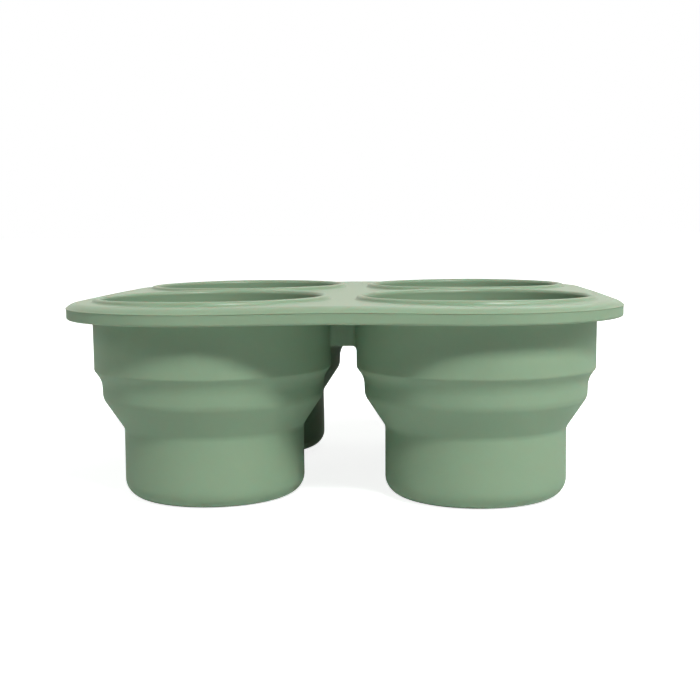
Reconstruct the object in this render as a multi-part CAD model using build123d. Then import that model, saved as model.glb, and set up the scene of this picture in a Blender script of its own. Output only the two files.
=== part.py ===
"""Baby food freezer tray: four round silicone cups that fold, hung from one square deck.

Millimetres, +Z up. The origin is on the ground, below the middle of the tray; the front is -Y.
The tray is one moulding, so its nodes are the zones of that moulding: thick bands that keep
their shape, the thin conical folds between them that turn over, the deck, its lips and webs.
"""

from build123d import *
import math
import os

# ---- Driving sizes of a cup, from the ground up
base_height = 21.0
lower_fold_height = 9.3
middle_band_height = 5.6
upper_fold_height = 3.0
upper_band_height = 15.5

# ---- Driving radii, outside
upper_band_radius = 36.0       # at the band's lower edge
upper_band_draft = 0.1         # how much wider the band is under the deck
upper_fold_step = 2.2          # how far the upper fold goes in
middle_band_draft = 0.25       # how much narrower the middle band is at its lower edge
lower_fold_step = 6.15         # how far the lower fold goes in
base_flare = 0.1               # how much wider the base is at the ground
base_corner_radius = 5.5

# ---- Walls
band_wall = 2.4
fold_wall = 1.2
base_wall_thickness = 1.8
floor_thickness = 2.2

# ---- Blends of the wall between its zones
upper_edge_blend = 1.0         # lower edge of the upper band
upper_root_blend = 6.0         # where the upper fold runs into the middle band
lower_edge_blend = 4.0         # lower edge of the middle band
lower_root_blend = 3.0         # where the lower fold runs into the base

# ---- Deck
cup_gap = 8.0                  # between the upper bands of neighbouring cups
rim_overhang = 7.9             # from the upper band to the deck's parting line
edge_band_height = 3.3         # from the deck's underside to the parting line
edge_band_draft = 0.2          # how much smaller the deck is at its underside
under_edge_radius = 0.7
crown_height = 1.7             # from the parting line to the flat top of the deck
crown_radius = 5.0             # rounding of the deck's top edge

# ---- Lips and webs
lip_radius = 1.2               # round section of the lip
lip_height = 1.35              # above the flat top of the deck
web_thickness = 3.0
web_height = 9.3

# ---- Heights that follow
base_top = base_height
lower_fold_top = base_top + lower_fold_height
middle_band_top = lower_fold_top + middle_band_height
upper_fold_top = middle_band_top + upper_fold_height
deck_underside = upper_fold_top + upper_band_height
parting_line = deck_underside + edge_band_height
deck_top = parting_line + crown_height

# ---- Radii that follow
upper_band_top_radius = upper_band_radius + upper_band_draft
middle_band_top_radius = upper_band_radius - upper_fold_step
middle_band_radius = middle_band_top_radius - middle_band_draft
base_top_radius = middle_band_radius - lower_fold_step
base_radius = base_top_radius + base_flare
opening_radius = upper_band_radius - band_wall
base_inner_radius = base_top_radius - base_wall_thickness
floor_corner_radius = max(base_corner_radius - base_wall_thickness, fold_wall)
floor_radius = base_inner_radius - floor_corner_radius
corner_top = max(base_corner_radius, floor_thickness + floor_corner_radius)
deck_corner_radius = upper_band_radius + rim_overhang

# ---- Places of the cups and webs
half_pitch = upper_band_radius + cup_gap / 2
cup_places = {
    "front_left": (-half_pitch, -half_pitch),
    "front_right": (half_pitch, -half_pitch),
    "rear_left": (-half_pitch, half_pitch),
    "rear_right": (half_pitch, half_pitch),
}
web_turns = {"rear": 0, "left": 90, "front": 180, "right": 270}


def inner_point(upper, lower, inner_radius):
    """Where the inside of a fold meets an inside wall of the given radius.

    upper and lower are the (radius, height) ends of the fold's outer line. The inside line runs
    parallel to it, one fold wall away.
    """
    run = upper[0] - lower[0]
    fall = upper[1] - lower[1]
    level_wall = fold_wall * math.hypot(run, fall) / fall
    drop = (upper[0] - level_wall - inner_radius) * fall / run
    return (inner_radius, upper[1] - drop)


def blend_radius(points, index, wanted):
    """The wanted blend at a corner of a closed outline, limited to what its two sides hold."""
    corner = Vector(*points[index])
    before = Vector(*points[index - 1]) - corner
    after = Vector(*points[(index + 1) % len(points)]) - corner
    half_angle = math.radians(before.get_angle(after)) / 2
    room = 0.45 * min(before.length, after.length)
    return min(wanted, room * math.tan(half_angle))


def cup_wall():
    """The whole wall of one cup on the Z axis, from the ground to the deck's underside."""
    upper_edge = (upper_band_radius, upper_fold_top)
    upper_root = (middle_band_top_radius, middle_band_top)
    lower_edge = (middle_band_radius, lower_fold_top)
    lower_root = (base_top_radius, base_top)
    corners = [
        ((upper_band_top_radius, deck_underside), 0),
        (upper_edge, upper_edge_blend),
        (upper_root, upper_root_blend),
        (lower_edge, lower_edge_blend),
        (lower_root, lower_root_blend),
        ((base_radius, 0), base_corner_radius),
        ((0, 0), 0),
        ((0, floor_thickness), 0),
        ((base_inner_radius, floor_thickness), floor_corner_radius),
        (inner_point(lower_edge, lower_root, base_inner_radius), lower_root_blend),
        (inner_point(lower_edge, lower_root, middle_band_radius - band_wall), lower_edge_blend),
        (inner_point(upper_edge, upper_root, middle_band_top_radius - band_wall),
         upper_root_blend),
        (inner_point(upper_edge, upper_root, opening_radius), upper_edge_blend),
        ((opening_radius, deck_underside), 0),
    ]
    points = [point for point, wanted in corners]
    radii = [wanted and blend_radius(points, i, wanted) for i, (_, wanted) in enumerate(corners)]
    outline = FilletPolyline(*points, radius=radii, close=True)
    return revolve(Plane.XZ * make_face(outline), Axis.Z)


def level_zone(solid, low, high):
    """The part of a solid between two heights."""
    slab = Cylinder(
        deck_corner_radius, high - low, align=(Align.CENTER, Align.CENTER, Align.MIN)
    )
    return solid & Pos(0, 0, low) * slab


def cup_zones():
    """The zones of one cup on the Z axis, as name: solid."""
    wall = cup_wall()
    bottom = level_zone(wall, 0, corner_top)
    pad = Cylinder(floor_radius, floor_thickness, align=(Align.CENTER, Align.CENTER, Align.MIN))
    return {
        "lip_ring": lip_ring(),
        "upper_band": level_zone(wall, upper_fold_top, deck_underside),
        "upper_fold": level_zone(wall, middle_band_top, upper_fold_top),
        "middle_band": level_zone(wall, lower_fold_top, middle_band_top),
        "lower_fold": level_zone(wall, base_top, lower_fold_top),
        "base_wall": level_zone(wall, corner_top, base_top),
        "base_corner": bottom - pad,
        "base_floor": bottom & pad,
    }


def lip_ring():
    """The round bead about an opening, from the flat top of the deck up."""
    bead = Pos(opening_radius + lip_radius, deck_top + lip_height - lip_radius) * Circle(lip_radius)
    above = Pos(opening_radius + lip_radius, deck_top) * Rectangle(
        2 * lip_radius, lip_height, align=(Align.CENTER, Align.MIN)
    )
    return revolve(Plane.XZ * (bead & above), Axis.Z)


def deck_face(margin):
    """The deck's outline as a face: a square whose round corners are centred on the cups.

    margin is how far outside the parting line the outline runs.
    """
    radius = deck_corner_radius + margin
    side = 2 * (half_pitch + radius)
    return RectangleRounded(side, side, radius)


def deck():
    """The square plate with its rounded top edge and four openings."""
    taper = math.degrees(math.atan(edge_band_draft / edge_band_height))
    edge_band = extrude(Pos(0, 0, parting_line) * deck_face(0), -edge_band_height, taper=taper)
    edge_band = fillet(edge_band.edges().group_by(Axis.Z)[0], under_edge_radius)

    # The top edge is an arc that starts at a corner on the parting line and ends level
    arc_run = math.sqrt(crown_radius**2 - (crown_radius - crown_height) ** 2)
    block_height = 2 * crown_radius
    block_base = Pos(0, 0, deck_top - block_height) * deck_face(crown_radius - arc_run)
    block = extrude(block_base, block_height)
    block = fillet(block.edges().group_by(Axis.Z)[-1], crown_radius)
    reach = 2 * (half_pitch + deck_corner_radius + crown_radius)
    above = Pos(0, 0, parting_line) * Box(
        reach, reach, crown_height, align=(Align.CENTER, Align.CENTER, Align.MIN)
    )
    plate = edge_band + (block & above)
    thickness = deck_top - deck_underside
    for x, y in cup_places.values():
        plate -= Pos(x, y, deck_underside + thickness / 2) * Cylinder(opening_radius, 2 * thickness)
    return plate


def rear_web():
    """The rib under the deck between the two rear cups."""
    rib = Pos(0, half_pitch, deck_underside - web_height) * Box(
        2 * half_pitch, web_thickness, web_height, align=(Align.CENTER, Align.CENTER, Align.MIN)
    )
    band = Pos(0, 0, upper_fold_top) * Cone(
        upper_band_radius,
        upper_band_top_radius,
        upper_band_height,
        align=(Align.CENTER, Align.CENTER, Align.MIN),
    )
    for side in (-1, 1):
        rib -= Pos(side * half_pitch, half_pitch, 0) * band
    return rib


os.makedirs("parts", exist_ok=True)

nodes = {"deck": deck()}
web = rear_web()
for side, turn in web_turns.items():
    nodes[f"web_{side}"] = Rot(0, 0, turn) * web
zones = cup_zones()
for cup, (x, y) in cup_places.items():
    for zone, solid in zones.items():
        nodes[f"{zone}_{cup}"] = Pos(x, y, 0) * solid

for name, solid in nodes.items():
    export_step(solid, f"parts/{name}.step")
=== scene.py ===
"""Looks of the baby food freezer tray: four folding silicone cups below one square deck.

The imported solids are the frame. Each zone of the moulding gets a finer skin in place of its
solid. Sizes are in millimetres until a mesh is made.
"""

import logging
import math
from dataclasses import dataclass
from enum import Enum

import bmesh
import bpy
from mathutils import Matrix, Vector


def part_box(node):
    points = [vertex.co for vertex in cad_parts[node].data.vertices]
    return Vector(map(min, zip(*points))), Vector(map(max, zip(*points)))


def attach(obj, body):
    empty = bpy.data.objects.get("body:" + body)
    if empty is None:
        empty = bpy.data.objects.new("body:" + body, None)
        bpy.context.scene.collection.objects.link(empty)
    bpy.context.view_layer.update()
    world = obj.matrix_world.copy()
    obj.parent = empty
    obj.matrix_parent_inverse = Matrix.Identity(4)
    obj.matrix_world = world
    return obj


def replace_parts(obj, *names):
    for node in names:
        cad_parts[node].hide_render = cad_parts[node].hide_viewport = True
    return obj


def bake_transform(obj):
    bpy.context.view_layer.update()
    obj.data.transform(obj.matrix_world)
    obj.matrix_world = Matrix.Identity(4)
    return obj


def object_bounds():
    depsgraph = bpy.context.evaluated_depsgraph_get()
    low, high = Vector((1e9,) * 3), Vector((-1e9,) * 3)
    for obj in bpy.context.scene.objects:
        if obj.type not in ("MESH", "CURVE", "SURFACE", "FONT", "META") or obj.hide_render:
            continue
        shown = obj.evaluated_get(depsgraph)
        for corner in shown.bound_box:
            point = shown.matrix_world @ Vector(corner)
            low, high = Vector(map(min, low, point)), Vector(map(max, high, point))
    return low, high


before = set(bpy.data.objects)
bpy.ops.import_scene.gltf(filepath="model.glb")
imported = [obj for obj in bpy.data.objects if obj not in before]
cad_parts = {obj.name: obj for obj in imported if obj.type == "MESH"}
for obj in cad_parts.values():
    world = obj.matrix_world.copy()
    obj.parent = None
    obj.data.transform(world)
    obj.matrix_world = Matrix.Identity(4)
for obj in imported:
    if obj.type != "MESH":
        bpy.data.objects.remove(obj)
cad_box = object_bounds()

log = logging.getLogger("tray")

MM = 0.001                  # metres in a millimetre
ROUND_STEPS = 192           # facets round a cup
SHARP_ANGLE = math.radians(32)
TOUCH = 0.005               # points nearer than this are one point
BLEND_ROOM = 0.99           # share of a side that one blend may take up
WHITE = "#FFFFFF"


# ---------------------------------------------------------------- Places read from the frame


class Cup(Enum):
    """The four cups, by the name that their nodes end with."""

    FRONT_LEFT = "front_left"
    FRONT_RIGHT = "front_right"
    REAR_LEFT = "rear_left"
    REAR_RIGHT = "rear_right"

    @property
    def axis(self) -> Vector:
        """The foot of the cup's axis, on the ground."""
        low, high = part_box(f"base_floor_{self.value}")
        middle = (low + high) / 2 / MM
        return Vector((middle.x, middle.y, 0.0))


class Web(Enum):
    """The four webs, with the turn in degrees that takes the rear one there."""

    REAR = ("web_rear", 0)
    LEFT = ("web_left", 90)
    FRONT = ("web_front", 180)
    RIGHT = ("web_right", 270)

    @property
    def node(self) -> str:
        """The web's CAD node."""
        return self.value[0]

    @property
    def turn(self) -> float:
        """The turn about the tray's middle, in radians."""
        return math.radians(self.value[1])


def low_of(node: str) -> float:
    """The height of a node's lowest point, in millimetres."""
    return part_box(node)[0].z / MM


def high_of(node: str) -> float:
    """The height of a node's highest point, in millimetres."""
    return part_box(node)[1].z / MM


def half_width_of(node: str) -> float:
    """The distance from the tray's middle to a node's right side, in millimetres."""
    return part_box(node)[1].x / MM


# ---------------------------------------------------------------- Sections and pieces


class Section:
    """A line drawn in the XZ plane from corner to corner, with X as the radius and Z as the height."""

    def __init__(self, radius: float, height: float) -> None:
        """Starts the line.

        Args:
            radius: the first point's distance from the axis.
            height: the first point's height.
        """
        self.mesh = bmesh.new()
        self.tip = self.mesh.verts.new((radius, 0.0, height))
        self.start = self.tip
        self.blends: list[tuple[bmesh.types.BMVert, float, int]] = []

    def to(self, radius: float, height: float, blend: float = 0.0, steps: int = 7) -> "Section":
        """Draws a straight line on to a point.

        Args:
            radius: the point's distance from the axis.
            height: the point's height.
            blend: the radius that the corner there is rounded to.
            steps: facets of that rounding.

        Returns:
            The section, so that calls can follow each other.
        """
        point = self.mesh.verts.new((radius, 0.0, height))
        self.mesh.edges.new((self.tip, point))
        self.tip = point
        if blend:
            self.blends.append((point, blend, steps))
        return self

    def arc(self, centre_radius: float, centre_height: float, degrees: float, steps: int) -> "Section":
        """Draws an arc on from the tip.

        Args:
            centre_radius: distance of the arc's centre from the axis.
            centre_height: height of the arc's centre.
            degrees: how far it turns, clockwise with the axis on the left.
            steps: facets of the arc.

        Returns:
            The section.
        """
        turned = bmesh.ops.spin(
            self.mesh, geom=[self.tip], cent=(centre_radius, 0.0, centre_height), axis=(0.0, 1.0, 0.0),
            angle=math.radians(degrees), steps=steps, use_duplicate=False,
        )
        self.tip = next(g for g in turned["geom_last"] if isinstance(g, bmesh.types.BMVert))
        return self

    def close(self) -> "Section":
        """Joins the tip to the start."""
        self.mesh.edges.new((self.tip, self.start))
        return self

    def finish(self, longest: float = 0.0) -> bmesh.types.BMesh:
        """Rounds the corners and divides what is too long.

        Args:
            longest: the longest edge to leave undivided, or 0 to leave all of them.

        Returns:
            The drawn line.
        """
        for corner, radius, steps in self.blends:
            sides = [edge.other_vert(corner).co - corner.co for edge in corner.link_edges]
            half_angle = sides[0].angle(sides[1]) / 2
            room = BLEND_ROOM * min(side.length for side in sides)
            bmesh.ops.bevel(
                self.mesh, geom=[corner], offset=min(radius / math.tan(half_angle), room),
                offset_type="OFFSET", segments=steps, profile=0.5, affect="VERTICES", material=-1,
            )
        if longest:
            for edge in [e for e in self.mesh.edges if e.calc_length() > longest]:
                cuts = math.ceil(edge.calc_length() / longest) - 1
                bmesh.ops.subdivide_edges(self.mesh, edges=[edge], cuts=cuts)
        return self.mesh


def spin_round(line: bmesh.types.BMesh) -> bmesh.types.BMesh:
    """Spins a drawn line once round the Z axis, with its poles closed.

    Args:
        line: the drawn line, which becomes the surface.

    Returns:
        The surface of revolution.
    """
    bmesh.ops.spin(
        line, geom=line.verts[:] + line.edges[:], cent=(0.0, 0.0, 0.0), axis=(0.0, 0.0, 1.0),
        angle=math.tau, steps=ROUND_STEPS, use_merge=True, use_duplicate=False,
    )
    bmesh.ops.remove_doubles(line, verts=line.verts[:], dist=TOUCH)
    return line


def cut_across(mesh: bmesh.types.BMesh, point: Vector, normal: Vector, near: float = 0.0) -> None:
    """Cuts a line into a mesh wherever a plane meets it.

    Args:
        mesh: the mesh, which stays whole.
        point: a point of the plane.
        normal: the plane's direction.
        near: how near a corner may lie to the plane and be taken as on it.
    """
    everything = mesh.verts[:] + mesh.edges[:] + mesh.faces[:]
    bmesh.ops.bisect_plane(mesh, geom=everything, plane_co=point, plane_no=normal, dist=near)


def ease(share: float) -> float:
    """Rises smoothly from 0 to 1 while share does."""
    share = min(max(share, 0.0), 1.0)
    return share * share * (3 - 2 * share)


@dataclass(frozen=True)
class Bow:
    """How the moulding has moved on cooling: the deck's sides bow up between the cups, by a hair."""

    underside: float            # heights of the deck and of the lips
    deck_top: float
    lip_top: float
    edge: float                 # from the tray's middle to its side
    front: float = 0.44         # rise in the middle of each side
    rear: float = 0.36
    side: float = 0.12
    half_width: float = 42.0    # along a side, from its middle to where the rise ends
    inner: float = 45.0         # across the deck, where the rise ends
    depth: float = 8.0          # below the deck, where it ends in the cups' walls
    lip_fall: float = 0.3       # how much lower the lips are on the tray's left and right
    lip_inner: float = 42.0     # where that fall starts

    def along(self, run: float) -> float:
        """The share of the rise at a distance along a side from its middle."""
        return 0.5 + 0.5 * math.cos(math.pi * min(abs(run) / self.half_width, 1.0))

    def across(self, run: float) -> float:
        """The share of the rise at a distance from the tray's middle towards a side."""
        return ease((run - self.inner) / (self.edge - self.inner))

    def rise(self, place: Vector) -> float:
        """How far a point of the moulding has moved up.

        Args:
            place: the point, in millimetres.

        Returns:
            The rise in millimetres, below 0 where the point has moved down.
        """
        above = min(max((place.z - self.deck_top) / (self.lip_top - self.deck_top), 0.0), 1.0)
        rise = self.along(place.x) * (self.front * self.across(-place.y) + self.rear * self.across(place.y))
        rise += self.side * self.along(place.y) * self.across(abs(place.x))
        rise *= ease((place.z - self.underside + self.depth) / self.depth) * (1 - above)
        outward = ease((abs(place.x) - self.lip_inner) / (self.edge - self.lip_inner))
        return rise - self.lip_fall * above * outward

    def bend(self, mesh: bmesh.types.BMesh) -> None:
        """Moves all the points of a mesh."""
        for vert in mesh.verts:
            vert.co.z += self.rise(vert.co)


def make_piece(name: str, mesh: bmesh.types.BMesh, finish: bpy.types.Material, place: Vector | None = None,
               bow: Bow | None = None) -> bpy.types.Object:
    """Makes a shown object of a mesh drawn in millimetres.

    Args:
        name: the piece's name.
        mesh: its surface, which is used up.
        finish: its material.
        place: how far it moves from where it was drawn, in millimetres.
        bow: how the moulding bows there, if it does.

    Returns:
        The object, at the origin with its place in its mesh.
    """
    if place:
        bmesh.ops.translate(mesh, verts=mesh.verts[:], vec=place)
    if bow:
        bow.bend(mesh)
    bmesh.ops.scale(mesh, verts=mesh.verts[:], vec=(MM, MM, MM))
    bmesh.ops.recalc_face_normals(mesh, faces=mesh.faces[:])
    for face in mesh.faces:
        face.smooth = True
    for edge in mesh.edges:
        edge.smooth = edge.is_manifold and edge.calc_face_angle() < SHARP_ANGLE
    data = bpy.data.meshes.new(name)
    mesh.to_mesh(data)
    mesh.free()
    data.materials.append(finish)
    piece = bpy.data.objects.new(name, data)
    bpy.context.scene.collection.objects.link(piece)
    return piece


def report(piece: bpy.types.Object) -> None:
    """Logs a finished piece and how many points it has."""
    log.info("%s: %d points", piece.name, len(piece.data.vertices))


# ---------------------------------------------------------------- The finish


def linear(hex_colour: str) -> tuple[float, float, float, float]:
    """The linear colour of an sRGB hex value.

    Args:
        hex_colour: six hex digits after a hash sign.

    Returns:
        Red, green, blue and an alpha of 1.
    """
    shares = [int(hex_colour[i:i + 2], 16) / 255 for i in (1, 3, 5)]
    red, green, blue = (s / 12.92 if s <= 0.04045 else ((s + 0.055) / 1.055) ** 2.4 for s in shares)
    return red, green, blue, 1.0


def add_node(tree: bpy.types.NodeTree, kind: str, settings: dict | None = None,
             inputs: dict | None = None) -> bpy.types.Node:
    """Adds a node with its settings and links.

    Args:
        tree: the tree it goes in.
        kind: the node's type.
        settings: its properties by name.
        inputs: by socket name or number, a value, or a socket to link from.

    Returns:
        The node.
    """
    node = tree.nodes.new(kind)
    for key, value in (settings or {}).items():
        setattr(node, key, value)
    for key, value in (inputs or {}).items():
        if isinstance(value, bpy.types.NodeSocket):
            tree.links.new(value, node.inputs[key])
        else:
            node.inputs[key].default_value = value
    return node


def noise_scale(size: float) -> float:
    """The scale of a noise whose blotches are about size millimetres across."""
    return 1 / (size * MM)


@dataclass(frozen=True)
class MouldedSilicone:
    """Pigmented food grade silicone, pressed in a steel mould.

    To the eye it is matt with a very fine tooth below the parting line, where the mould was
    spark-eroded, and satin above it, where the mould was polished. Edges of shadow go warm,
    because red light travels a little way inside it.
    """

    colour: str = "#869E82"
    pale_colour: str = "#8AA286"        # pigment cloud, and where handling has rubbed it
    cloud_size: float = 26.0            # pale side of the pigment's clouds
    tooth_size: float = 0.45            # spark erosion is finer; drawn as coarse as it can show
    tooth_height: float = 0.012
    ripple_size: float = 9.0            # slow unevenness left by curing
    ripple_height: float = 0.03
    roughness: float = 0.68             # below the parting line
    polished: float = 0.35              # above it
    roughness_spread: float = 0.04
    ior: float = 1.41
    line_width: float = 0.2             # over which one finish gives way to the other
    translucence: float = 0.5           # share of the light that goes in before it comes back
    light_depth: tuple[float, float, float] = (2.0, 0.6, 0.5)      # how far red, green and blue get

    def build(self, parting: float) -> bpy.types.Material:
        """Makes the material.

        Args:
            parting: height of the mould's parting line, in millimetres.

        Returns:
            The material, with its patterns on Object coordinates.
        """
        material = bpy.data.materials.new("moulded_silicone")
        material.use_nodes = True
        tree = material.node_tree
        shader = tree.nodes["Principled BSDF"]
        place = add_node(tree, "ShaderNodeTexCoord").outputs["Object"]
        cloud = add_node(tree, "ShaderNodeTexNoise", inputs={
            "Vector": place, "Scale": noise_scale(self.cloud_size), "Detail": 3.0})
        tooth = add_node(tree, "ShaderNodeTexNoise", inputs={
            "Vector": place, "Scale": noise_scale(self.tooth_size), "Detail": 2.0, "Roughness": 0.6})
        ripple = add_node(tree, "ShaderNodeTexNoise", inputs={
            "Vector": place, "Scale": noise_scale(self.ripple_size), "Detail": 1.0})
        tint = add_node(tree, "ShaderNodeMix", {"data_type": "RGBA"}, {
            0: cloud.outputs["Fac"], 6: linear(self.colour), 7: linear(self.pale_colour)})
        height = add_node(tree, "ShaderNodeSeparateXYZ", inputs={"Vector": place}).outputs["Z"]
        smoothest = add_node(tree, "ShaderNodeMapRange", inputs={
            "Value": height,
            "From Min": (parting - self.line_width / 2) * MM,
            "From Max": (parting + self.line_width / 2) * MM,
            "To Min": self.roughness - self.roughness_spread,
            "To Max": self.polished - self.roughness_spread})
        rough = add_node(tree, "ShaderNodeMath", {"operation": "MULTIPLY_ADD"}, {
            0: tooth.outputs["Fac"], 1: 2 * self.roughness_spread, 2: smoothest.outputs["Result"]})
        slow = add_node(tree, "ShaderNodeBump", inputs={
            "Height": ripple.outputs["Fac"], "Distance": self.ripple_height * MM, "Strength": 1.0})
        fine = add_node(tree, "ShaderNodeBump", inputs={
            "Height": tooth.outputs["Fac"], "Distance": self.tooth_height * MM, "Strength": 1.0,
            "Normal": slow.outputs["Normal"]})
        tree.links.new(tint.outputs[2], shader.inputs["Base Color"])
        tree.links.new(rough.outputs[0], shader.inputs["Roughness"])
        tree.links.new(fine.outputs["Normal"], shader.inputs["Normal"])
        shader.inputs["IOR"].default_value = self.ior
        shader.inputs["Subsurface Weight"].default_value = self.translucence
        shader.inputs["Subsurface Radius"].default_value = self.light_depth
        shader.inputs["Subsurface Scale"].default_value = MM
        return material


# ---------------------------------------------------------------- A cup


@dataclass(frozen=True)
class Seam:
    """Where two zones of a cup's wall meet, square to the wall's outside."""

    radius: float           # of the outside
    height: float
    wall: float
    lean: float             # radians that the outside faces upwards

    @property
    def inside(self) -> tuple[float, float]:
        """Radius and height of the inside edge."""
        return self.radius - self.wall * math.cos(self.lean), self.height - self.wall * math.sin(self.lean)


@dataclass
class CupSkin:
    """The skins of one cup, from its lip to its floor."""

    cup: Cup
    finish: bpy.types.Material

    # Outside of the wall
    band_radius: float = 36.0           # upper band, at its lower edge
    band_draft: float = 0.1
    upper_step: float = 2.2             # how far the upper fold goes in
    middle_draft: float = 0.25
    lower_step: float = 6.15            # how far the lower fold goes in
    base_flare: float = 0.1

    # Walls
    band_wall: float = 2.4
    fold_wall: float = 1.2
    base_wall: float = 1.8
    floor: float = 2.2

    # Blends
    under_deck_blend: float = 0.5
    upper_edge: float = 1.0
    upper_root: float = 6.0
    lower_edge: float = 4.0
    lower_root: float = 3.0
    base_corner: float = 5.5

    # Lip
    bead: float = 1.2                   # radius of the lip's round section
    foot_blend: float = 0.85            # where the lip runs into the deck
    rooting: float = 0.5                # how deep the lip and the wall are let into the deck
    collar: float = 0.2                 # level strip round the roots of the lip and the wall

    # How far the skins of the folds run on into the bands and the base
    overrun_band: float = 3.0           # upper fold, upwards
    overrun_root: float = 2.1           # upper fold, downwards
    overrun_lower: float = 1.5          # lower fold, both ways

    # Facets
    bead_steps: int = 28                # round the lip
    broad_steps: int = 9                # of a broad blend
    narrow_steps: int = 5               # of a narrow one
    corner_steps: int = 13              # of the base's corner
    fold_mesh: float = 0.5              # longest edge down a fold
    band_mesh: float = 2.0              # longest edge down the upper band
    base_mesh: float = 4.0              # longest edge down the base's wall

    def __post_init__(self) -> None:
        """Reads the heights from the frame."""
        name = self.cup.value
        self.corner_top = high_of(f"base_corner_{name}")
        self.base_top = low_of(f"lower_fold_{name}")
        self.middle_low = high_of(f"lower_fold_{name}")
        self.middle_high = low_of(f"upper_fold_{name}")
        self.band_low = high_of(f"upper_fold_{name}")
        self.underside = high_of(f"upper_band_{name}")
        self.deck_top = low_of(f"lip_ring_{name}")
        self.lip_top = high_of(f"lip_ring_{name}")
        self.bow = Bow(self.underside, self.deck_top, self.lip_top, half_width_of("deck"))

    @property
    def half_pitch(self) -> float:
        """Half the distance between the axes of two neighbouring cups."""
        return abs(self.cup.axis.x)

    @property
    def bore(self) -> float:
        """Radius of the opening."""
        return self.band_radius - self.band_wall

    @property
    def middle_radius(self) -> float:
        """Outside radius of the middle band at its upper edge."""
        return self.band_radius - self.upper_step

    @property
    def base_radius(self) -> float:
        """Outside radius of the base at its upper edge."""
        return self.middle_radius - self.middle_draft - self.lower_step

    @property
    def base_bore(self) -> float:
        """Inside radius of the base."""
        return self.base_radius - self.base_wall

    @property
    def pad_radius(self) -> float:
        """Radius of the flat floor."""
        return self.base_bore - self.base_corner + self.base_wall

    @property
    def foot_radius(self) -> float:
        """Radius at which the lip's foot is level with the deck."""
        reach = self.bead + self.foot_blend
        rise = self.deck_top + self.foot_blend - (self.lip_top - self.bead)
        return self.bore + self.bead + math.sqrt(reach**2 - rise**2)

    @property
    def lip_root(self) -> float:
        """Radius of the lip's root in the deck."""
        return self.foot_radius + self.collar

    @property
    def wall_root(self) -> float:
        """Radius of the upper band's root in the deck, outside its blend."""
        return self.band_radius + self.band_draft + self.under_deck_blend + self.collar

    def seam_on_band(self) -> Seam:
        """Between the upper band and the upper fold."""
        run = self.underside - self.band_low
        height = self.band_low + self.overrun_band
        radius = self.band_radius + self.band_draft * (height - self.band_low) / run
        return Seam(radius, height, self.band_wall, -math.atan(self.band_draft / run))

    def seam_on_middle(self, upper: bool) -> Seam:
        """Between the middle band and its upper or its lower fold."""
        height = self.middle_high - self.overrun_root if upper else self.middle_low + self.overrun_lower
        run = self.middle_high - self.middle_low
        radius = self.middle_radius - self.middle_draft * (self.middle_high - height) / run
        return Seam(radius, height, self.band_wall, -math.atan(self.middle_draft / run))

    def seam_on_base(self) -> Seam:
        """Between the lower fold and the base."""
        height = self.base_top - self.overrun_lower
        radius = self.base_radius + self.base_flare * (self.base_top - height) / self.base_top
        return Seam(radius, height, self.base_wall, math.atan(self.base_flare / self.base_top))

    def lip_ring(self) -> bpy.types.Object:
        """The round bead about the opening, with a small blend at its foot."""
        centre = self.bore + self.bead
        centre_height = self.lip_top - self.bead
        foot_height = self.deck_top + self.foot_blend
        climb = math.degrees(math.asin((foot_height - centre_height) / (self.bead + self.foot_blend)))
        bottom = self.deck_top - self.rooting
        section = Section(self.bore, bottom).to(self.bore, centre_height)
        section.arc(centre, centre_height, 180 - climb, self.bead_steps)
        section.arc(self.foot_radius, foot_height, climb - 90, self.broad_steps)
        section.to(self.lip_root, self.deck_top).to(self.lip_root, bottom).close()
        return self.piece("lip_ring", section, "tray", bow=self.bow)

    def upper_band(self) -> bpy.types.Object:
        """The thick upper wall, which runs into the deck's underside."""
        seam = self.seam_on_band()
        top = self.underside + self.rooting
        section = Section(*seam.inside).to(self.bore, top).to(self.wall_root, top)
        section.to(self.wall_root, self.underside)
        outside = self.band_radius + self.band_draft
        section.to(outside, self.underside, self.under_deck_blend, self.broad_steps)
        section.to(seam.radius, seam.height).close()
        return self.piece("upper_band", section, "tray", self.band_mesh, self.bow)

    def upper_fold(self) -> bpy.types.Object:
        """The short thin cone between the upper and the middle band."""
        above = self.seam_on_band()
        below = self.seam_on_middle(upper=True)
        line = Section(above.radius, above.height)
        line.to(self.band_radius, self.band_low, self.upper_edge, self.narrow_steps)
        line.to(self.middle_radius, self.middle_high, self.upper_root, self.broad_steps)
        line.to(below.radius, below.height)
        return self.fold("upper_fold", line, above, below, self.band_low, self.middle_high)

    def middle_band(self) -> bpy.types.Object:
        """The thick ring between the two folds."""
        above = self.seam_on_middle(upper=True)
        below = self.seam_on_middle(upper=False)
        section = Section(above.radius, above.height).to(below.radius, below.height)
        section.to(*below.inside).to(*above.inside).close()
        return self.piece("middle_band", section, f"{self.cup.value}_middle")

    def lower_fold(self) -> bpy.types.Object:
        """The tall thin cone between the middle band and the base."""
        above = self.seam_on_middle(upper=False)
        below = self.seam_on_base()
        edge_radius = self.middle_radius - self.middle_draft
        line = Section(above.radius, above.height)
        line.to(edge_radius, self.middle_low, self.lower_edge, self.broad_steps)
        line.to(self.base_radius, self.base_top, self.lower_root, self.broad_steps)
        line.to(below.radius, below.height)
        return self.fold("lower_fold", line, above, below, self.middle_low, self.base_top)

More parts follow.
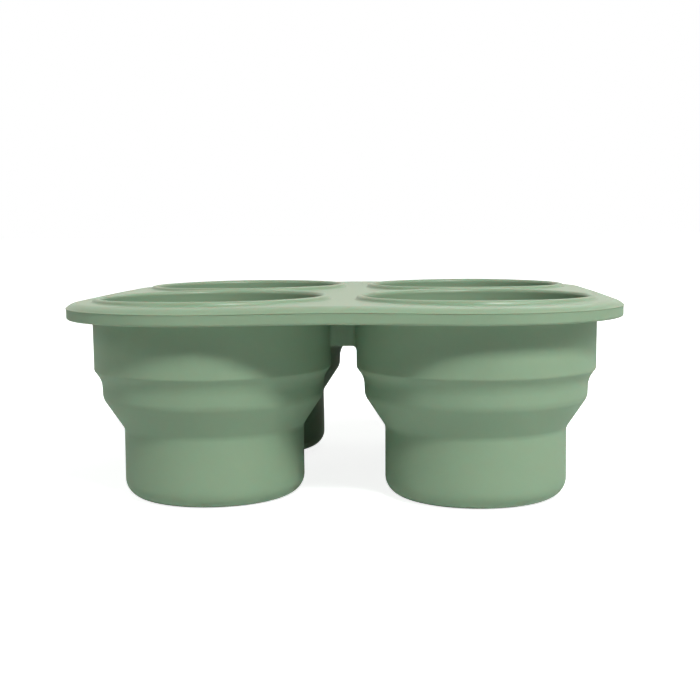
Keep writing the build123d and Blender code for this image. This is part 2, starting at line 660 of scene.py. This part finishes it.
    def base(self) -> list[bpy.types.Object]:
        """The base's wall, its rounded corner and its flat floor."""
        seam = self.seam_on_base()
        flared = self.base_radius + self.base_flare
        corner_radius = flared - self.base_flare * self.corner_top / self.base_top
        wall = Section(seam.radius, seam.height).to(corner_radius, self.corner_top)
        wall.to(self.base_bore, self.corner_top).to(*seam.inside).close()
        corner = Section(corner_radius, self.corner_top).to(flared, 0.0, self.base_corner, self.corner_steps)
        corner.to(self.pad_radius, 0.0).to(self.pad_radius, self.floor)
        corner.to(self.base_bore, self.floor, self.base_corner - self.base_wall, self.broad_steps)
        corner.to(self.base_bore, self.corner_top).close()
        pad = Section(0.0, 0.0).to(self.pad_radius, 0.0).to(self.pad_radius, self.floor)
        pad.to(0.0, self.floor)
        body = f"{self.cup.value}_base"
        return [self.piece("base_wall", wall, body, self.base_mesh), self.piece("base_corner", corner, body),
                self.piece("base_floor", pad, body)]

    def piece(self, zone: str, section: Section, body: str, longest: float = 0.0,
              bow: Bow | None = None) -> bpy.types.Object:
        """Spins a closed section into a piece that rides on a body.

        Args:
            zone: the zone's name in the nodes.
            section: its half section.
            body: the body it rides on.
            longest: the longest edge of the section to leave undivided.
            bow: how the moulding bows there, if it does.

        Returns:
            The piece.
        """
        node = f"{zone}_{self.cup.value}"
        surface = spin_round(section.finish(longest))
        made = make_piece(f"{node}_skin", surface, self.finish, self.cup.axis, bow)
        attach(made, body)
        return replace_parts(made, node)

    def fold(self, zone: str, line: Section, above: Seam, below: Seam, start: float, end: float) -> bpy.types.Object:
        """Spins the outside of a fold and gives it a wall, thin in the fold and thickening towards its seams.

        Args:
            zone: the zone's name in the nodes.
            line: the outside, from the upper seam to the lower one.
            above: the seam at its upper end.
            below: the seam at its lower end.
            start: height of the fold's upper edge, above which its wall thickens to the upper seam's.
            end: height of its lower edge, below which its wall thickens to the lower seam's.

        Returns:
            The piece, whose wall is a modifier.
        """
        node = f"{zone}_{self.cup.value}"
        axis = self.cup.axis
        made = make_piece(f"{node}_skin", spin_round(line.finish(self.fold_mesh)), self.finish, axis)
        group = made.vertex_groups.new(name="wall")
        for point in made.data.vertices:
            height = point.co.z / MM
            if height > start:
                share, seam = (height - start) / (above.height - start), above
            else:
                share, seam = (end - height) / (end - below.height), below
            wall = self.fold_wall + (seam.wall - self.fold_wall) * ease(share)
            group.add([point.index], wall / self.band_wall, "REPLACE")
        shell = made.modifiers.new("wall", "SOLIDIFY")
        shell.thickness = self.band_wall * MM
        shell.vertex_group = group.name
        shell.offset = -1.0
        shell.use_even_offset = True
        shell.use_quality_normals = True
        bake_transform(made)
        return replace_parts(made, node)

    def build(self) -> None:
        """Makes all the skins of the cup."""
        for made in (self.lip_ring(), self.upper_band(), self.upper_fold(), self.middle_band(),
                     self.lower_fold(), *self.base()):
            report(made)


# ---------------------------------------------------------------- The deck and its webs


@dataclass
class DeckSkin:
    """The square plate with round corners that the four cups hang from."""

    cup: CupSkin                        # any one of the four, for the sizes they share
    finish: bpy.types.Material
    edge_band: float = 3.3              # from the underside to the parting line
    edge_draft: float = 0.2
    under_edge: float = 0.7
    under_strip: float = 1.0            # level strip inside that rounding
    crown_radius: float = 5.0
    level_margin: float = 0.4           # level strip inside the crown
    flash_proud: float = 0.2            # thin ridge that the mould leaves at its parting line
    flash_height: float = 0.35
    crown_steps: int = 14
    corner_steps: int = 60              # round a corner
    side_steps: int = 40                # along a side
    grid: float = 6.0                   # of the lines that let the flat faces bow

    def __post_init__(self) -> None:
        """Reads the plate's size from the frame."""
        low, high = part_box("deck")
        self.underside = low.z / MM
        self.top = high.z / MM
        self.half_pitch = self.cup.half_pitch
        self.corner_radius = high.x / MM - self.half_pitch
        self.parting = self.underside + self.edge_band

    def edge_section(self) -> Section:
        """The plate's edge, from its underside to its flat top, with X as the distance from a cup's axis."""
        rim = self.corner_radius
        body = rim - self.flash_proud
        foot = rim - self.edge_draft
        ridge, crest = self.flash_height / 2, self.flash_height / 6
        arc_height = self.parting + ridge - (self.top - self.crown_radius)
        start = math.degrees(math.asin(arc_height / self.crown_radius))
        centre = body - self.crown_radius * math.cos(math.radians(start))
        section = Section(foot - self.under_strip - self.under_edge, self.underside)
        section.to(foot, self.underside, self.under_edge)
        section.to(body, self.parting - ridge).to(rim, self.parting - crest)
        section.to(rim, self.parting + crest).to(body, self.parting + ridge)
        section.arc(centre, self.top - self.crown_radius, start - 90, self.crown_steps)
        return section.to(centre - self.level_margin, self.top)

    def outline(self) -> bmesh.types.BMesh:
        """The plate's edge, swept round its corners and along its sides."""
        mesh = self.edge_section().finish()
        bmesh.ops.translate(mesh, verts=mesh.verts[:], vec=(self.half_pitch, self.half_pitch, 0))
        running = mesh.verts[:] + mesh.edges[:]
        for quarter in range(4):
            turn = Matrix.Rotation(quarter * math.pi / 2, 3, "Z")
            corner = turn @ Vector((self.half_pitch, self.half_pitch, 0))
            stride = turn @ Vector((-2 * self.half_pitch / self.side_steps, 0, 0))
            for angle, step, steps in (
                (math.pi / 2, Vector(), self.corner_steps),
                (0.0, stride, self.side_steps),
            ):
                swept = bmesh.ops.spin(mesh, geom=running, cent=corner, axis=(0, 0, 1), angle=angle,
                                       dvec=step, steps=steps, use_duplicate=False)
                running = swept["geom_last"]
        bmesh.ops.remove_doubles(mesh, verts=mesh.verts[:], dist=TOUCH)
        return mesh

    def opening(self, mesh: bmesh.types.BMesh, axis: Vector) -> None:
        """Lines one opening, with room for the root of its lip above and of its wall below.

        Args:
            mesh: the plate.
            axis: the foot of the opening's axis.
        """
        cup = self.cup
        lining = Section(cup.lip_root, self.top).to(cup.lip_root, self.top - cup.rooting)
        lining.to(cup.bore, self.top - cup.rooting).to(cup.bore, self.underside + cup.rooting)
        lining.to(cup.wall_root, self.underside + cup.rooting).to(cup.wall_root, self.underside)
        ring = spin_round(lining.finish())
        bmesh.ops.translate(ring, verts=ring.verts[:], vec=axis)
        loose = bpy.data.meshes.new("opening")
        ring.to_mesh(loose)
        ring.free()
        mesh.from_mesh(loose)
        bpy.data.meshes.remove(loose)

    def plate(self) -> bpy.types.Object:
        """The whole plate."""
        mesh = self.outline()
        for cup in Cup:
            self.opening(mesh, cup.axis)
        for level, up in ((self.top, 1.0), (self.underside, -1.0)):
            rims = [e for e in mesh.edges if e.is_boundary and abs(e.verts[0].co.z - level) < TOUCH]
            bmesh.ops.triangle_fill(mesh, edges=rims, use_beauty=True, use_dissolve=False, normal=(0, 0, up))
        lines = math.floor(self.half_pitch * 2 / self.grid)
        for normal in (Vector((1, 0, 0)), Vector((0, 1, 0))):
            for line in range(-lines, lines + 1):
                cut_across(mesh, normal * line * self.grid, normal, TOUCH)
        made = make_piece("deck_skin", mesh, self.finish, bow=self.cup.bow)
        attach(made, "tray")
        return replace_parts(made, "deck")

    def build(self) -> None:
        """Makes the plate."""
        report(self.plate())


@dataclass
class WebSkin:
    """A rib under the deck between two cups, blended into both and into the deck."""

    cup: CupSkin
    finish: bpy.types.Material
    thickness: float = 3.0
    edge_radius: float = 0.8            # of its lower edge
    end_blend: float = 1.3              # where it meets a cup
    root_blend: float = 1.0             # where it meets the deck
    embedding: float = 0.7              # how far it runs into the cups
    edge_steps: int = 6
    mesh_step: float = 0.13             # between the lines that shape the blends

    def __post_init__(self) -> None:
        """Works out the gap that a web bridges."""
        self.wall = self.cup.band_radius + self.cup.band_draft / 2
        self.half_gap = self.cup.half_pitch - self.wall

    def bar(self, low: float) -> bmesh.types.BMesh:
        """A straight bar along X, with its ends in the cups' walls and its top in the deck.

        Args:
            low: height of its underside.

        Returns:
            The bar, with its lower edges rounded.
        """
        half_length = self.half_gap + self.embedding
        top = self.cup.underside + self.embedding / 2
        middle = (top + low) / 2
        mesh = bmesh.new()
        bmesh.ops.create_cube(mesh, size=1.0)
        bmesh.ops.scale(mesh, verts=mesh.verts[:], vec=(2 * half_length, self.thickness, top - low))
        bmesh.ops.translate(mesh, verts=mesh.verts[:], vec=(0, 0, middle))
        lower = [e for e in mesh.edges if abs(e.verts[0].co.x - e.verts[1].co.x) > half_length
                 and e.verts[0].co.z < middle]
        bmesh.ops.bevel(
            mesh, geom=lower, offset=self.edge_radius, offset_type="OFFSET", segments=self.edge_steps,
            profile=0.5, affect="EDGES", material=-1,
        )
        return mesh

    def cut(self, mesh: bmesh.types.BMesh) -> None:
        """Cuts the lines that the blends need, across the bar's ends and along its root."""
        for side in (-1, 1):
            for line in range(math.ceil(self.end_blend / self.mesh_step) + 1):
                inwards = self.half_gap - line * self.mesh_step
                cut_across(mesh, Vector((side * inwards, 0, 0)), Vector((1, 0, 0)))
        for line in range(math.ceil(self.root_blend / self.mesh_step) + 1):
            down = self.cup.underside - line * self.mesh_step
            cut_across(mesh, Vector((0, 0, down)), Vector((0, 0, 1)))

    def blended(self, distance: float, radius: float) -> float:
        """How far a blend stands out at a distance from the wall that it runs into."""
        if distance >= radius:
            return 0.0
        short = min(radius, radius - distance)
        return radius - math.sqrt(radius**2 - short**2)

    def blend(self, mesh: bmesh.types.BMesh) -> None:
        """Pushes the bar's sides out into its blends, and lets its ends follow the round of the cups."""
        mesh.normal_update()
        moves = []
        for vert in mesh.verts:
            at_end = self.blended(self.half_gap - abs(vert.co.x), self.end_blend)
            at_root = self.blended(self.cup.underside - vert.co.z, self.root_blend)
            side = 0.0 if abs(vert.co.y) < TOUCH else math.copysign(1.0, vert.co.y)
            across = Vector((0.0, vert.normal.y, min(vert.normal.z, 0.0)))
            out = across.normalized() * at_end if across.length > TOUCH else Vector()
            out.y += side * at_root
            moves.append(out)
        for vert, out in zip(mesh.verts, moves):
            vert.co += out
            hollow = self.wall - math.sqrt(self.wall**2 - vert.co.y**2)
            vert.co.x += math.copysign(hollow, vert.co.x) if abs(vert.co.x) > self.half_gap / 2 else 0.0

    def rib(self, web: Web) -> bpy.types.Object:
        """One web, made at the rear and turned into place.

        Args:
            web: which one.

        Returns:
            The piece.
        """
        mesh = self.bar(low_of(web.node))
        self.cut(mesh)
        self.blend(mesh)
        bmesh.ops.translate(mesh, verts=mesh.verts[:], vec=(0, self.cup.half_pitch, 0))
        bmesh.ops.rotate(mesh, verts=mesh.verts[:], cent=(0, 0, 0), matrix=Matrix.Rotation(web.turn, 3, "Z"))
        made = make_piece(f"{web.node}_skin", mesh, self.finish)
        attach(made, "tray")
        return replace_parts(made, web.node)

    def build(self) -> None:
        """Makes the four webs."""
        for web in Web:
            report(self.rib(web))


# ---------------------------------------------------------------- Floor, light and camera


def by_ray(tree: bpy.types.NodeTree, lighting: bpy.types.Node, mirrored: bpy.types.Node,
           seen: bpy.types.Node) -> bpy.types.NodeSocket:
    """Chooses between three shaders by the kind of ray that meets them.

    Args:
        tree: node tree of the floor's paper or of the world.
        lighting: what lights the object.
        mirrored: what a gloss or glass shows.
        seen: what the camera sees.

    Returns:
        The chosen shader.
    """
    path = add_node(tree, "ShaderNodeLightPath")
    sent_on = add_node(tree, "ShaderNodeMath", {"operation": "MAXIMUM"}, {
        0: path.outputs["Is Glossy Ray"], 1: path.outputs["Is Transmission Ray"]})
    unseen = add_node(tree, "ShaderNodeMixShader", inputs={
        0: sent_on.outputs[0], 1: lighting.outputs[0], 2: mirrored.outputs[0]})
    return add_node(tree, "ShaderNodeMixShader", inputs={
        0: path.outputs["Is Camera Ray"], 1: unseen.outputs[0], 2: seen.outputs[0]}).outputs[0]


@dataclass(frozen=True)
class MattPaper:
    """Matt pale background paper, on which the tray stands.

    It keeps the tray's shadow. To the camera it runs out into the white backdrop, and a satin
    face mirrors it nearly as pale, while what it sends up is the light of plain paper.
    """

    colour: str = "#DFE4E4"
    roughness: float = 0.9
    glow: tuple[float, float] = (0.86, 1.0)             # to the camera: by the tray, and away from it
    glow_reach: tuple[float, float] = (0.10, 0.45)      # metres from the middle, where it changes
    mirrored_glow: float = 0.25                         # in a satin face

    def build(self, mirrored_white: str) -> bpy.types.Material:
        """Makes the material.

        Args:
            mirrored_white: the white that a satin face shows.

        Returns:
            The material.
        """
        material = bpy.data.materials.new("matt_paper")
        material.use_nodes = True
        tree = material.node_tree
        shader = tree.nodes["Principled BSDF"]
        shader.inputs["Base Color"].default_value = linear(self.colour)
        shader.inputs["Roughness"].default_value = self.roughness
        away = add_node(tree, "ShaderNodeVectorMath", {"operation": "LENGTH"},
                        {0: add_node(tree, "ShaderNodeTexCoord").outputs["Object"]})
        strength = add_node(tree, "ShaderNodeMapRange", {"interpolation_type": "SMOOTHSTEP"}, {
            "Value": away.outputs["Value"],
            "From Min": self.glow_reach[0], "From Max": self.glow_reach[1],
            "To Min": self.glow[0], "To Max": self.glow[1]})
        warm_glow = add_node(tree, "ShaderNodeEmission", inputs={
            "Color": linear(mirrored_white), "Strength": self.mirrored_glow})
        white_glow = add_node(tree, "ShaderNodeEmission", inputs={
            "Color": linear(WHITE), "Strength": strength.outputs["Result"]})
        mirrored, seen = (
            add_node(tree, "ShaderNodeAddShader", inputs={0: shader.outputs[0], 1: glow.outputs[0]})
            for glow in (warm_glow, white_glow)
        )
        chosen = by_ray(tree, shader, mirrored, seen)
        tree.links.new(chosen, tree.nodes["Material Output"].inputs["Surface"])
        return material


@dataclass(frozen=True)
class Lamp:
    """A round soft box that faces the tray."""

    name: str
    turn: float             # degrees to the right of the tray's front
    climb: float            # degrees above the floor
    size: float             # across, metres
    power: float            # watts
    distance: float = 1.5   # metres

    def build(self, aim: Vector) -> None:
        """Hangs the lamp.

        Args:
            aim: the point it faces, in metres.
        """
        data = bpy.data.lights.new(self.name, "AREA")
        data.shape = "DISK"
        data.size = self.size
        data.energy = self.power
        lamp = bpy.data.objects.new(self.name, data)
        out = Vector((0.0, -self.distance, 0.0))
        out.rotate(Matrix.Rotation(math.radians(-self.climb), 3, "X"))
        out.rotate(Matrix.Rotation(math.radians(self.turn), 3, "Z"))
        lamp.location = aim + out
        lamp.rotation_euler = (-out).to_track_quat("-Z", "Y").to_euler()
        bpy.context.scene.collection.objects.link(lamp)


@dataclass
class Studio:
    """Pale floor, soft lamps and the camera.

    Backdrop and floor are white to the camera and in a satin face, while the light on the tray
    comes from the lamps and from what the floor sends back up.
    """

    lamps: tuple[Lamp, ...] = (
        Lamp("key_softbox", 25.0, 46.5, 0.3, 16.5),
        Lamp("right_softbox", 60.0, 40.0, 0.6, 6.8),
        Lamp("left_softbox", -65.0, 38.0, 0.6, 3.1),
        Lamp("back_softbox", 165.0, 45.0, 0.8, 2.2),
    )
    ambient: float = 0.01                   # from the backdrop, all round
    mirrored_white: str = "#FFFDF2"         # what a satin face shows of the backdrop: card, a little warm
    paper: MattPaper = MattPaper()
    floor_side: float = 40.0                # metres

    # Camera, in millimetres and degrees
    camera_place: tuple[float, float, float] = (22.3, -398.0, 79.6)
    camera_yaw: float = -3.25               # to the right of the rear
    camera_dip: float = 5.70                # below level
    camera_roll: float = 0.49               # clockwise, seen from behind it
    lens: float = 60.74
    sensor: float = 36.0

    def build_world(self) -> None:
        """A white backdrop all round, dim where it only lights the object."""
        world = bpy.data.worlds.new("backdrop")
        world.use_nodes = True
        tree = world.node_tree
        tree.nodes.clear()
        dim, mirrored, white = (
            add_node(tree, "ShaderNodeBackground", inputs={"Color": linear(colour), "Strength": strength})
            for colour, strength in ((WHITE, self.ambient), (self.mirrored_white, 1.0), (WHITE, 1.0))
        )
        add_node(tree, "ShaderNodeOutputWorld", inputs={"Surface": by_ray(tree, dim, mirrored, white)})
        bpy.context.scene.world = world

    def build_floor(self) -> None:
        """The floor, which is stage and not part of the tray."""
        mesh = bmesh.new()
        bmesh.ops.create_grid(mesh, x_segments=1, y_segments=1, size=self.floor_side / 2)
        data = bpy.data.meshes.new("floor")
        mesh.to_mesh(data)
        mesh.free()
        data.materials.append(self.paper.build(self.mirrored_white))
        floor = bpy.data.objects.new("floor", data)
        bpy.context.scene.collection.objects.link(floor)

    def build_camera(self) -> None:
        """The camera, a little above the deck and to the right of the middle."""
        data = bpy.data.cameras.new("camera")
        data.lens = self.lens
        data.sensor_width = self.sensor
        data.clip_start, data.clip_end = 0.01, 100.0
        camera = bpy.data.objects.new("camera", data)
        turn = (Matrix.Rotation(math.radians(-self.camera_yaw), 4, "Z")
                @ Matrix.Rotation(math.radians(90 - self.camera_dip), 4, "X")
                @ Matrix.Rotation(math.radians(-self.camera_roll), 4, "Z"))
        camera.matrix_world = Matrix.Translation(Vector(self.camera_place) * MM) @ turn
        bpy.context.scene.collection.objects.link(camera)
        bpy.context.scene.camera = camera

    def build(self) -> None:
        """Sets up the whole studio."""
        low, high = cad_box
        for lamp in self.lamps:
            lamp.build((low + high) / 2)
        self.build_world()
        self.build_floor()
        self.build_camera()
        bpy.context.scene.view_settings.view_transform = "Standard"


def main() -> None:
    """Builds the tray and the studio round it."""
    logging.basicConfig(level=logging.INFO, format="%(message)s")
    parting = low_of("deck") + DeckSkin.edge_band
    silicone = MouldedSilicone().build(parting)
    cups = [CupSkin(cup, silicone) for cup in Cup]
    DeckSkin(cups[0], silicone).build()
    WebSkin(cups[0], silicone).build()
    for cup in cups:
        cup.build()
    Studio().build()


if __name__ == "__main__":
    main()
